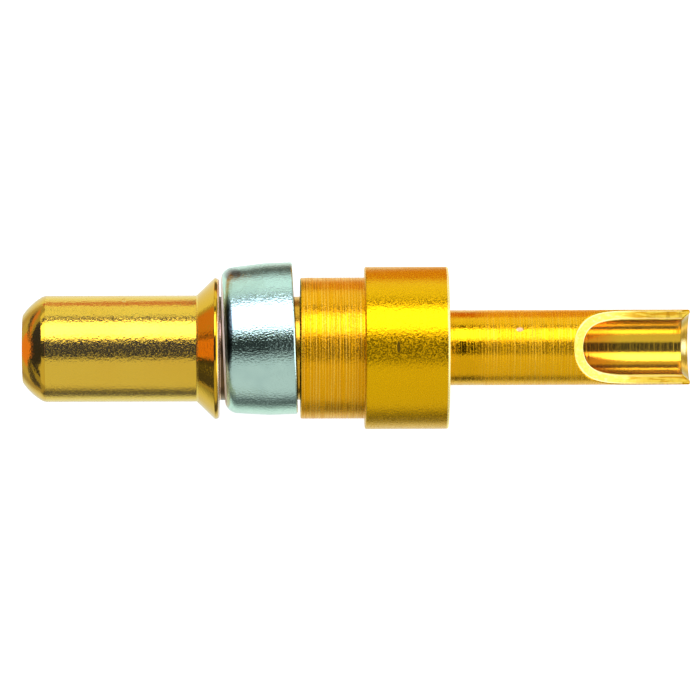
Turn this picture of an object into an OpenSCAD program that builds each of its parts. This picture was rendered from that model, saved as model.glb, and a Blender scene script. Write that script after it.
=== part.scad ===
// Solder cup pin contact for a power connector: one turned, gold-plated contact
// and the loose split spring clip that is trapped on its neck.
// The contact lies along X, with the mating pin towards -X and the open side of
// the solder cup towards +Z. The origin is on the axis, at the flange's front face.

/* [Mating pin] */
// Diameter of the mating pin
pin_d = 3.6; // [3:0.05:4.4]
// Length of the straight part of the pin, from the nose to the entry cone
pin_len = 5.16; // [3:0.02:12]
// Length of the domed nose
nose_len = 0.72; // [0.4:0.02:1.2]
// Diameter of the flat at the tip of the nose
nose_flat_d = 2.3; // [1:0.05:2.7]

/* [Rim, neck and shoulder] */
// Diameter of the rim that keeps the clip on the neck
rim_d = 4.78; // [4.5:0.02:5.6]
// Width of the straight edge of the rim
rim_land = 0.16; // [0.06:0.02:0.6]
// Half angle of the entry cone ahead of the rim
cone_angle = 44; // [25:1:65]
// Diameter of the neck
neck_d = 3.5; // [2.8:0.05:4]
// Diameter of the shoulder behind the neck
shoulder_d = 4.78; // [4.4:0.02:5.3]
// Length of the shoulder
shoulder_len = 2.18; // [1:0.02:4]

/* [Flange] */
// Diameter of the flange
flange_d = 5.5; // [5.2:0.05:8]
// Length of the flange
flange_len = 2.83; // [1:0.02:5]
// Bevel that breaks the turned outer edges
edge_break = 0.06; // [0.02:0.01:0.12]

/* [Solder cup tail] */
// Length of the tail behind the flange
tail_len = 8.22; // [6:0.1:14]
// Diameter of the wire bore
cup_d = 1.85; // [1:0.05:2.6]
// Wall of the tail around the bore
cup_wall = 0.35; // [0.2:0.005:0.6]
// Length of the bore that stays closed all round, behind the scoop
cup_closed_len = 1.2; // [0.5:0.1:2]
// Point angle of the drill that makes the bore
drill_point = 118; // [90:1:140]
// Length of the milled scoop that opens the cup
scoop_len = 4; // [2.5:0.1:4.6]
// Radius of the milling cutter at the inner end of the scoop
scoop_mill_r = 3.3; // [1.5:0.1:5]
// Depth of the countersink at the mouth of the cup
mouth_len = 0.25; // [0.1:0.01:0.6]
// Width of the flat rim left around that countersink
mouth_rim = 0.12; // [0.08:0.01:0.18]

/* [Retaining clip] */
// Length of the clip
clip_len = 2.44; // [1.8:0.02:4]
// Thickness of the spring sheet
sheet_t = 0.22; // [0.1:0.01:0.3]
// Outer radius of the rolled-in lip
lip_roll_r = 0.45; // [0.35:0.01:0.52]
// Radial height of the clip, from the hole in its lip to its outside
clip_rise = 0.545; // [0.5:0.005:0.8]
// Length of the straight band at the open end
clip_band_len = 0.95; // [0.4:0.05:1.2]
// Width of the slot that splits the clip
slot_w = 0.7; // [0.3:0.05:1.5]
// Bevel on the edges of the sheet
sheet_break = 0.05; // [0.02:0.01:0.08]
// Radial clearance of the lip around the neck
lip_clear = 0.28; // [0.1:0.01:0.4]
// Axial play of the clip between the rim and the shoulder
clip_play = 0.3; // [0.28:0.02:0.8]
// Angle at which the loose clip sits cocked
clip_tilt = 2; // [0:0.5:3]

/* [Hidden] */
$fn = 96;

// Gap left where the loose clip comes to rest on the neck
rest_gap = 0.02;
// Gap left between the rim and the nearest side of the cocked clip
rim_gap = 0.05;
// Angle at which the clip's straight sheet runs into its roll
roll_blend = 6;
// Distance by which a cutting tool runs past the surface that it cuts
overrun = 1;

pin_r = pin_d / 2;
rim_r = rim_d / 2;
neck_r = neck_d / 2;
shoulder_r = shoulder_d / 2;
flange_r = flange_d / 2;
cup_r = cup_d / 2;
tail_r = cup_r + cup_wall;

// Stations along X, from the flange's front face to each end
tail_x = flange_len;
end_x = tail_x + tail_len;
shoulder_x = -shoulder_len;
neck_x = shoulder_x - clip_len - clip_play;
rim_x = neck_x - rim_land;
cone_x = rim_x - (rim_r - pin_r) / tan(cone_angle);
pin_x = cone_x - pin_len;
nose_x = pin_x - nose_len;

// The dome's circle is centred on the axis and passes through both ends of the nose
nose_flat_r = nose_flat_d / 2;
dome_depth = (nose_len ^ 2 + pin_r ^ 2 - nose_flat_r ^ 2) / (2 * nose_len);
dome_r = sqrt(dome_depth ^ 2 + nose_flat_r ^ 2);

// The cutter leaves the top of the tail at the inner end of the scoop
cup_depth = scoop_len + cup_closed_len;
mill_run = sqrt(scoop_mill_r ^ 2 - (scoop_mill_r - tail_r) ^ 2);
mill_x = end_x - scoop_len + mill_run;

// The clip's tapered sheet runs from the start of its band to its rolled lip, which it
// crosses at roll_blend
lip_r = neck_r + lip_clear;
clip_r = lip_r + clip_rise;
band_u = clip_len - clip_band_len;
roll_centre = [lip_r, lip_roll_r];
roll_to_band = [clip_r, band_u] - roll_centre;
sheet_off = lip_roll_r * cos(roll_blend);
taper = acos(sheet_off / norm(roll_to_band)) - atan2(roll_to_band[1], roll_to_band[0]);
taper_out = [cos(taper), -sin(taper)];

// Turns a shape whose axis is Z so that it lies along X
module along_x() {
    rotate([0, 90, 0]) children();
}

// What is turned off the pin's end to dome the nose, as radius and station
module nose_cut() {
    difference() {
        translate([0, nose_x - overrun]) square([pin_r + overrun, dome_depth + overrun]);
        translate([0, nose_x + dome_depth]) circle(r = dome_r);
    }
}

// Half section of the turned contact before its nose is domed, as radius and station
module turned_section() {
    polygon([
        [0, nose_x],
        [pin_r, nose_x],
        [pin_r, cone_x],
        [rim_r, rim_x],
        [rim_r, neck_x],
        [neck_r, neck_x],
        [neck_r, shoulder_x],
        [shoulder_r - edge_break, shoulder_x],
        [shoulder_r, shoulder_x + edge_break],
        [shoulder_r, 0],
        [flange_r - edge_break, 0],
        [flange_r, edge_break],
        [flange_r, tail_x - edge_break],
        [flange_r - edge_break, tail_x],
        [tail_r, tail_x],
        [tail_r, end_x - edge_break],
        [tail_r - edge_break, end_x],
        [0, end_x],
    ]);
}

// The drilled wire bore, with its drill point and countersunk mouth
module wire_bore() {
    point_len = cup_r / tan(drill_point / 2);
    mouth_r = tail_r - mouth_rim;
    translate([end_x, 0, 0]) rotate([0, -90, 0]) {
        translate([0, 0, -overrun]) cylinder(r = cup_r, h = overrun + cup_depth);
        translate([0, 0, cup_depth]) cylinder(r1 = cup_r, r2 = 0, h = point_len);
        cylinder(r1 = mouth_r, r2 = cup_r, h = mouth_len);
    }
}

// The milled scoop that opens the cup down to the contact's axis
module cup_scoop() {
    rotate([90, 0, 0]) linear_extrude(height = 2 * (tail_r + overrun), center = true) {
        translate([mill_x, scoop_mill_r]) circle(r = scoop_mill_r);
        translate([mill_x, 0]) square([end_x + overrun - mill_x, 2 * scoop_mill_r]);
    }
}

// The contact: one turned piece, drilled and milled open at the solder end
module contact_body() {
    color([0.93, 0.74, 0.16]) difference() {
        along_x() rotate_extrude() difference() {
            turned_section();
            nose_cut();
        }
        wire_bore();
        cup_scoop();
    }
}

// Half section of the clip's sheet, as radius and distance from its lip: the tapered
// sheet is carried on past the lip, and the two circles of the roll round it off
module sheet_section() {
    reach = 3 * lip_roll_r;
    difference() {
        polygon([
            [lip_r, -lip_roll_r],
            [clip_r - (band_u + lip_roll_r) * tan(taper), -lip_roll_r],
            [clip_r, band_u],
            [clip_r, clip_len - sheet_break],
            [clip_r - sheet_break, clip_len],
            [clip_r - sheet_t + sheet_break, clip_len],
            [clip_r - sheet_t, clip_len - sheet_break],
            [clip_r - sheet_t, band_u + sheet_t * tan(taper / 2)],
            roll_centre + (sheet_off - sheet_t) * taper_out,
            roll_centre,
        ]);
        translate(roll_centre) circle(r = lip_roll_r - sheet_t);
        difference() {
            polygon([
                roll_centre,
                roll_centre + [-lip_roll_r, -reach],
                roll_centre + [reach, -reach],
                roll_centre + reach * taper_out,
            ]);
            translate(roll_centre) circle(r = lip_roll_r);
        }
    }
}

// The retaining clip: a split ring of spring sheet with a rolled-in front lip,
// cocked on the neck and resting against it by its lip
module retaining_clip() {
    clip_x = neck_x + rim_gap + lip_r * sin(clip_tilt);
    lip_shift = lip_clear - rest_gap;
    color([0.74, 0.79, 0.78])
        translate([clip_x, lip_shift, 0]) rotate([0, 0, clip_tilt]) difference() {
            along_x() rotate_extrude() sheet_section();
            translate([-overrun, -slot_w / 2, -clip_r - overrun])
                cube([clip_len + 2 * overrun, slot_w, clip_r + overrun]);
        }
}

contact_body();
retaining_clip();
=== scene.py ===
"""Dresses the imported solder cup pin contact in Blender.

The turned, gold-plated contact and the loose spring clip on its neck are built as fine
meshes in the place of their CAD solids, and lit and framed as in the photograph: seen from
straight above the open side of the solder cup, on a plain white floor.
"""

import logging
import math
from dataclasses import dataclass
from enum import Enum
from typing import Union

import bmesh
import bpy
import numpy as np
from mathutils import Matrix


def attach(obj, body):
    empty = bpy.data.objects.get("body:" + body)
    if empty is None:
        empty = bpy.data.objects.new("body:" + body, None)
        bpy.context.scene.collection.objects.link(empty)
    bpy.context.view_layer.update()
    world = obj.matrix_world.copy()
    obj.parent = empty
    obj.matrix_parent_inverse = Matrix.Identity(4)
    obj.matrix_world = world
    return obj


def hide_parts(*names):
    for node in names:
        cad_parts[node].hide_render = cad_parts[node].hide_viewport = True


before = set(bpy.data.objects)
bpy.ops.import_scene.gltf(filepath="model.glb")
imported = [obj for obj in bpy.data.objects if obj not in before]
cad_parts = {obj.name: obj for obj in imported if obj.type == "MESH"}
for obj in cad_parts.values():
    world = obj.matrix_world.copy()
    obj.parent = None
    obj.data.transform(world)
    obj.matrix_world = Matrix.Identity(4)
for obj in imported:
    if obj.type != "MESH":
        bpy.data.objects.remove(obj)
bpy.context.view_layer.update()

LOG = logging.getLogger("pin_contact")
MM = 0.001
MM_PER_METRE = 1000.0
MICROMETRE = 1e-6
IMAGE_PIXELS = 700
CLIP_LEAN = 0.035
SHARP_EDGE = math.radians(32.0)
WELD = 2e-8
TINY = 1e-9

Colour = tuple[float, float, float]
Point = tuple[float, float]
Value = Union[float, "Field"]


class Body(Enum):
    """CAD bodies that the pieces ride on."""

    ROOT = "root"


class Slot(Enum):
    """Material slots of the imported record."""

    GOLD = "gold_plating"
    STEEL = "spring_steel"


class Cut(Enum):
    """Face attributes that tell the contact's finish how a surface was made."""

    MILLED = "milled"
    BORED = "bored"
    BURR = "burr"


class Field:
    """A node socket that takes part in Python expressions, each of which adds a Math node."""

    def __init__(self, kit: "NodeKit", socket: bpy.types.NodeSocket) -> None:
        self.kit = kit
        self.socket = socket

    def of(self, name: str) -> "Field":
        """Gives another output of the same node."""
        return Field(self.kit, self.socket.node.outputs[name])

    def math(self, operation: str, *others: Value) -> "Field":
        """Adds a Math node that starts from this socket."""
        values = dict(enumerate((self, *others)))
        return self.kit.add("ShaderNodeMath", {"operation": operation}, values)

    def flipped(self, operation: str, other: Value) -> "Field":
        """Adds a Math node with this socket as its second value."""
        return self.kit.add("ShaderNodeMath", {"operation": operation}, {0: other, 1: self})

    def __add__(self, other: Value) -> "Field":
        """Adds a value."""
        return self.math("ADD", other)

    def __sub__(self, other: Value) -> "Field":
        """Takes a value away."""
        return self.math("SUBTRACT", other)

    def __rsub__(self, other: Value) -> "Field":
        """Takes this away from a value."""
        return self.flipped("SUBTRACT", other)

    def __mul__(self, other: Value) -> "Field":
        """Multiplies by a value."""
        return self.math("MULTIPLY", other)

    def __truediv__(self, other: Value) -> "Field":
        """Divides by a value."""
        return self.math("DIVIDE", other)

    def __rtruediv__(self, other: Value) -> "Field":
        """Divides a value by this."""
        return self.flipped("DIVIDE", other)

    def __pow__(self, other: Value) -> "Field":
        """Raises to a power."""
        return self.math("POWER", other)

    def __rpow__(self, other: Value) -> "Field":
        """Raises a value to this power."""
        return self.flipped("POWER", other)

    def __abs__(self) -> "Field":
        """Gives the size without the sign."""
        return self.math("ABSOLUTE")

    __radd__ = __add__
    __rmul__ = __mul__

    def step(self, first: float, last: float, start: float = 0.0, end: float = 1.0) -> "Field":
        """Goes smoothly from a start at the first value to an end at the last one.

        Args:
            first: Where the change starts.
            last: Where it ends, which may be lower.
            start: What is given at the first value and before it.
            end: What is given at the last value and after it.

        Returns:
            The field of what is given.
        """
        if first > last:
            first, last, start, end = last, first, end, start
        sockets = {0: self, 1: first, 2: last, 3: start, 4: end}
        return self.kit.add("ShaderNodeMapRange", {"interpolation_type": "SMOOTHSTEP"}, sockets)

    def between(self, low: float, high: float, soft: float) -> "Field":
        """Gives a mask that is 1 from low to high, with soft ends."""
        return self.step(low - soft, low + soft) * (1.0 - self.step(high - soft, high + soft))


class NodeKit:
    """Adds nodes to one node tree."""

    def __init__(self, tree: bpy.types.NodeTree) -> None:
        """Takes a shader, world or geometry tree."""
        self.tree = tree

    def add(
        self,
        kind: str,
        settings: dict[str, object] | None = None,
        sockets: dict[int | str, object] | None = None,
        output: int | str = 0,
    ) -> Field:
        """Adds one node, sets it up and links it.

        Args:
            kind: The node's type.
            settings: Its settings, set first; "stops" holds a ramp's places and colours.
            sockets: Values or fields for its inputs, by place or name.
            output: The output that is given back.

        Returns:
            The field of that output.
        """
        node = self.tree.nodes.new(kind)
        for name, value in (settings or {}).items():
            if name == "stops":
                self.fill_ramp(node.color_ramp, value)
            else:
                setattr(node, name, value)
        for key, value in (sockets or {}).items():
            if isinstance(value, Field):
                self.tree.links.new(value.socket, node.inputs[key])
            else:
                node.inputs[key].default_value = value
        return Field(self, node.outputs[output])

    @staticmethod
    def fill_ramp(ramp: bpy.types.ColorRamp, stops: list[tuple[float, Colour]]) -> None:
        """Gives a colour ramp its stops.

        Args:
            ramp: The ramp of a new node.
            stops: Places from 0 to 1 and their colours, in order.
        """
        while len(ramp.elements) < len(stops):
            ramp.elements.new(0.5)
        for element, (place, colour) in zip(ramp.elements, stops):
            element.position = place
            element.color = (*colour, 1.0)

    def mix(self, factor: Value, first: Colour | Field, second: Colour | Field) -> Field:
        """Mixes two colours.

        Args:
            factor: The share of the second colour.
            first: A colour or its field.
            second: A colour or its field.

        Returns:
            The mixed colour's field.
        """
        colours = [c if isinstance(c, Field) else (*c, 1.0) for c in (first, second)]
        sockets = {0: factor, 6: colours[0], 7: colours[1]}
        return self.add("ShaderNodeMix", {"data_type": "RGBA"}, sockets, output=2)


class Lathe:
    """A Geometry Nodes tree that turns a half section round the X axis.

    The section is a mesh of loose points, with each point's station as X and its radius as Y.
    A ring may be split by a slot with straight walls, and a point's "mark" lets the turning
    tool leave its feed marks there, some deeper than others.
    """

    INPUTS = {
        "Segments": ("NodeSocketInt", 96),
        "Seam": ("NodeSocketFloat", 0.0),
        "Slot Width": ("NodeSocketFloat", 0.0),
        "Mark Depth": ("NodeSocketFloat", 0.0),
        "Mark Pitch": ("NodeSocketFloat", 1.0),
    }
    UNEVEN_SCALE = 0.43
    UNEVEN_GAIN = 2.0
    UNEVEN_OFFSET = 0.25

    def __init__(self) -> None:
        """Makes the tree and its inputs."""
        self.group = bpy.data.node_groups.new("turn_section", "GeometryNodeTree")
        sides = self.group.interface
        sides.new_socket("Section", in_out="INPUT", socket_type="NodeSocketGeometry")
        self.keys = {}
        for name, (kind, default) in self.INPUTS.items():
            socket = sides.new_socket(name, in_out="INPUT", socket_type=kind)
            socket.default_value = default
            self.keys[name] = socket.identifier
        finish = sides.new_socket("Finish", in_out="INPUT", socket_type="NodeSocketMaterial")
        self.keys["Finish"] = finish.identifier
        sides.new_socket("Surface", in_out="OUTPUT", socket_type="NodeSocketGeometry")
        self.add_nodes()

    def add_nodes(self) -> None:
        """Adds the nodes: a grid whose rows are laid round the axis, one for each point."""
        kit = NodeKit(self.group)
        given = kit.add("NodeGroupInput")
        section, segments, pitch = (given.of(n) for n in ("Section", "Segments", "Mark Pitch"))
        count = kit.add("GeometryNodeAttributeDomainSize", {"component": "MESH"}, {0: section})
        columns = kit.add("FunctionNodeIntegerMath", {"operation": "ADD"}, {0: segments, 1: 1})
        shape = kit.add("GeometryNodeMeshGrid", {}, {"Vertices X": columns, "Vertices Y": count})
        places = {0: kit.add("GeometryNodeInputIndex"), 1: count}
        row = kit.add("FunctionNodeIntegerMath", {"operation": "MODULO"}, places)
        column = kit.add("FunctionNodeIntegerMath", {"operation": "DIVIDE_FLOOR"}, places)

        def sampled(kind: str, value: Field) -> Field:
            """Reads a value of the section's point that makes this row."""
            sockets = {"Geometry": section, "Value": value, "Index": row}
            return kit.add("GeometryNodeSampleIndex", {"data_type": kind, "domain": "POINT"}, sockets)

        named = kit.add("GeometryNodeInputNamedAttribute", {"data_type": "FLOAT"}, {"Name": "mark"})
        mark = sampled("FLOAT", named)
        place = sampled("FLOAT_VECTOR", kit.add("GeometryNodeInputPosition"))
        station = kit.add("ShaderNodeSeparateXYZ", {}, {0: place})
        radius = station.of("Y")
        half_slot = (0.5 * given.of("Slot Width") / radius.math("MAXIMUM", TINY)).math("MINIMUM", 1.0)
        edge = half_slot.math("ARCSINE")
        turn = edge + (math.tau - 2.0 * edge) * column / segments
        feed = (math.tau * station / pitch + turn).math("SINE")
        uneven = kit.add(
            "ShaderNodeTexNoise",
            {"noise_dimensions": "1D"},
            {"W": station / pitch, "Scale": self.UNEVEN_SCALE, "Detail": 1.0},
        )
        deep = self.UNEVEN_GAIN * uneven - self.UNEVEN_OFFSET
        reach = radius + mark * given.of("Mark Depth") * feed * deep
        angle = given.of("Seam") + turn
        round_axis = {0: station, 1: reach * angle.math("SINE"), 2: reach * angle.math("COSINE")}
        spot = kit.add("ShaderNodeCombineXYZ", {}, round_axis)
        for kind, sockets in (
            ("GeometryNodeSetPosition", {"Position": spot}),
            ("GeometryNodeMergeByDistance", {"Distance": WELD}),
            ("GeometryNodeSetShadeSmooth", {}),
            ("GeometryNodeRealizeInstances", {}),
            ("GeometryNodeSetMaterial", {"Material": given.of("Finish")}),
        ):
            shape = kit.add(kind, {}, {"Geometry": shape, **sockets})
        output = self.group.nodes.new("NodeGroupOutput")
        self.group.links.new(shape.socket, output.inputs["Surface"])

    def turn(
        self,
        name: str,
        section: "Section",
        finish: bpy.types.Material,
        closed: bool = False,
        **inputs: float,
    ) -> bpy.types.Mesh:
        """Turns a section and gives the result as a plain mesh.

        Args:
            name: The mesh's name.
            section: The half section, in mm.
            finish: The material.
            closed: Whether the section's last point joins its first.
            inputs: The tree's other inputs, with _ for a space.

        Returns:
            The turned mesh, in metres.
        """
        points = section.points + section.points[:1] if closed else section.points
        outline = bpy.data.meshes.new(name + "_section")
        outline.from_pydata([(x * MM, r * MM, 0.0) for x, r, _ in points], [], [])
        marks = outline.attributes.new("mark", "FLOAT", "POINT")
        marks.data.foreach_set("value", [m for _, _, m in points])
        work = bpy.data.objects.new(name + "_work", outline)
        bpy.context.scene.collection.objects.link(work)
        modifier = work.modifiers.new("turn", "NODES")
        modifier.node_group = self.group
        for key, value in inputs.items():
            modifier[self.keys[key.replace("_", " ").title()]] = value
        modifier[self.keys["Finish"]] = finish
        view = work.evaluated_get(bpy.context.evaluated_depsgraph_get())
        mesh = bpy.data.meshes.new_from_object(view)
        mesh.name = name
        work.modifiers.remove(modifier)
        bpy.data.objects.remove(work)
        bpy.data.meshes.remove(outline)
        return mesh


class Section:
    """A half section in mm: stations, radii and the strength of the tool's marks at each point."""

    ROUND_STEPS = 5
    SUPPORT = 0.02
    SAME_POINT = 1e-5

    def __init__(self) -> None:
        """Starts an empty section."""
        self.points: list[tuple[float, float, float]] = []

    def add(self, x: float, r: float, mark: float = 0.0) -> None:
        """Adds a point, unless it is the last one again."""
        if not self.points or math.dist(self.points[-1][:2], (x, r)) > self.SAME_POINT:
            self.points.append((x, r, mark))

    def arc(self, centre: Point, radius: float, start: float, end: float, steps: int) -> None:
        """Adds the points of an arc.

        Args:
            centre: Station and radius of its centre.
            radius: The arc's own radius.
            start: Angle of its first point, from the direction of X towards the outside.
            end: Angle of its last point.
            steps: How many pieces it is cut into.
        """
        for angle in np.linspace(start, end, steps + 1):
            self.add(centre[0] + radius * math.cos(angle), centre[1] + radius * math.sin(angle))

    def rounded(self, corners: list[tuple[float, float, float]]) -> None:
        """Adds a run of corners, each with its own round.

        Args:
            corners: Stations, radii and the round of each corner; the ends have none.
        """
        last = len(corners) - 1
        for i, (x, r, size) in enumerate(corners):
            if size <= 0.0 or i in (0, last):
                self.add(x, r)
                continue
            here = np.array((x, r))
            before = np.array(corners[i - 1][:2]) - here
            after = np.array(corners[i + 1][:2]) - here
            room = (np.linalg.norm(before), np.linalg.norm(after))
            before /= room[0]
            after /= room[1]
            half = math.acos(float(np.clip(before @ after, -1.0, 1.0))) / 2.0
            run = size / math.tan(half)
            inward = (before + after) / np.linalg.norm(before + after)
            centre = here + inward * size / math.sin(half)
            first, second = here + before * run, here + after * run
            if room[0] > run + 2.0 * self.SUPPORT:
                self.add(*(first + before * self.SUPPORT))
            start = math.atan2(*(first - centre)[::-1])
            end = math.atan2(*(second - centre)[::-1])
            swing = (end - start + math.pi) % math.tau - math.pi
            self.arc(tuple(centre), size, start, start + swing, self.ROUND_STEPS)
            if room[1] > run + 2.0 * self.SUPPORT:
                self.add(*(second + after * self.SUPPORT))

    def marked(self, start: float, end: float, r: float, pitch: float, fade: float, steps: int) -> None:
        """Adds a straight stretch that carries feed marks.

        Args:
            start: Station of its start.
            end: Station of its end.
            r: Its radius.
            pitch: The distance between marks.
            fade: The length over which the marks start and end.
            steps: Points for each mark.
        """
        count = round((end - start) / pitch * steps)
        for x in np.linspace(start, end, count + 1):
            self.add(float(x), r, float(np.clip(min(x - start, end - x) / fade, 0.0, 1.0)))


@dataclass(frozen=True)
class Grain:
    """A noise on a piece's own coordinates.

    Attributes:
        scale: Features per metre along X, Y and Z.
        detail: The number of finer layers.
        rough: How strong the finer layers are.
    """

    scale: tuple[float, float, float]
    detail: float = 2.0
    rough: float = 0.5


@dataclass(frozen=True)
class Patch:
    """A colour that shows on part of a surface.

    Attributes:
        colour: The colour.
        share: How much of it shows where it is strongest.
        where: The fields of the surface that bring it in, by name, each with the values of
            its step; a field without values is a mask itself.
    """

    colour: Colour
    share: float
    where: dict[str, tuple[float, ...]]


class Surface:
    """A new material that mirrors only as metal, with the place of each of its points in mm."""

    def __init__(self, name: str) -> None:
        """Makes the material.

        Args:
            name: Its name.
        """
        self.material = bpy.data.materials.new(name)
        self.material.use_nodes = True
        self.tree = self.material.node_tree
        self.kit = NodeKit(self.tree)
        self.shader = self.tree.nodes["Principled BSDF"]
        self.coords = self.kit.add("ShaderNodeTexCoord", output="Object")
        metres = self.kit.add("ShaderNodeSeparateXYZ", {}, {0: self.coords})
        self.along, self.across, self.up = (metres.of(axis) * MM_PER_METRE for axis in "XYZ")
        self.aside = abs(self.across)
        self.set("Specular IOR Level", 0.0)

    def set(self, name: str, value: Field | float | tuple[float, ...]) -> None:
        """Gives one of the shader's inputs a constant, or links a field to it.

        Args:
            name: The input's name.
            value: The constant or the field.
        """
        if isinstance(value, Field):
            self.tree.links.new(value.socket, self.shader.inputs[name])
        else:
            self.shader.inputs[name].default_value = value

    def noise(self, grain: Grain) -> Field:
        """Adds a noise.

        Args:
            grain: How fine it is.

        Returns:
            The noise's field, around 0.5.
        """
        sockets = {0: self.coords, 1: grain.scale}
        placed = self.kit.add("ShaderNodeVectorMath", {"operation": "MULTIPLY"}, sockets)
        sockets = {"Vector": placed, "Scale": 1.0, "Detail": grain.detail, "Roughness": grain.rough}
        return self.kit.add("ShaderNodeTexNoise", {}, sockets)

    def patched(self, colour: Colour | Field, patches: tuple[Patch, ...]) -> Field:
        """Lays patches over a colour.

        Args:
            colour: The colour below them.
            patches: The patches, the topmost last.

        Returns:
            The colour's field.
        """
        for patch in patches:
            mask = patch.share
            for name, values in patch.where.items():
                field = getattr(self, name)
                mask = mask * (field.step(*values) if values else field)
            colour = self.kit.mix(mask, colour, patch.colour)
        return colour

    def bump(self, height: Field, unit: float) -> None:
        """Lets a height, in a unit of so many metres, tilt the shader's normal."""
        sockets = {"Strength": 1.0, "Distance": unit, "Height": height}
        self.set("Normal", self.kit.add("ShaderNodeBump", {}, sockets, output="Normal"))


@dataclass(frozen=True)
class Spot:
    """A small mark, or a patch of painted shade, on the upper side of a finish, where the photograph
    shows one.

    Attributes:
        x: Its station, in mm.
        y: How far it lies across the contact, in mm.
        length: Half its size along the contact, in mm.
        width: Half its size across the contact, in mm.
    """

    CORE = 0.35
    UPPER_SIDE = (0.1, 0.3)

    x: float
    y: float
    length: float
    width: float

    def mask(self, on: Surface) -> Field:
        """Gives a mask that is 1 in the middle of the spot."""
        far = ((on.along - self.x) / self.length) ** 2.0 + ((on.across - self.y) / self.width) ** 2.0
        return far.step(1.0, self.CORE) * on.up.step(*self.UPPER_SIDE)


@dataclass(frozen=True)
class Zone:
    """One stretch of the contact and how its plating looks there.

    Attributes:
        start: The station where it starts, in mm.
        colour: The plating's colour, or in some zones a painted highlight or painted shade.
        rough: Its roughness.
        peel: Height of the plating's orange peel, in micrometres.
        streak: Height of the tool's streaks, in micrometres.
        pit: Height of the fine pits, in micrometres.
        veil: How much of a thin dull film lies on the plating.
        haze: How much rougher the plating's fine specks are than the rest.
        matte: How much of the plating scatters light instead of mirroring it.
    """

    TALLEST = 32.0

    start: float
    colour: Colour
    rough: float
    peel: float
    streak: float
    pit: float
    veil: float
    haze: float
    matte: float


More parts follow.
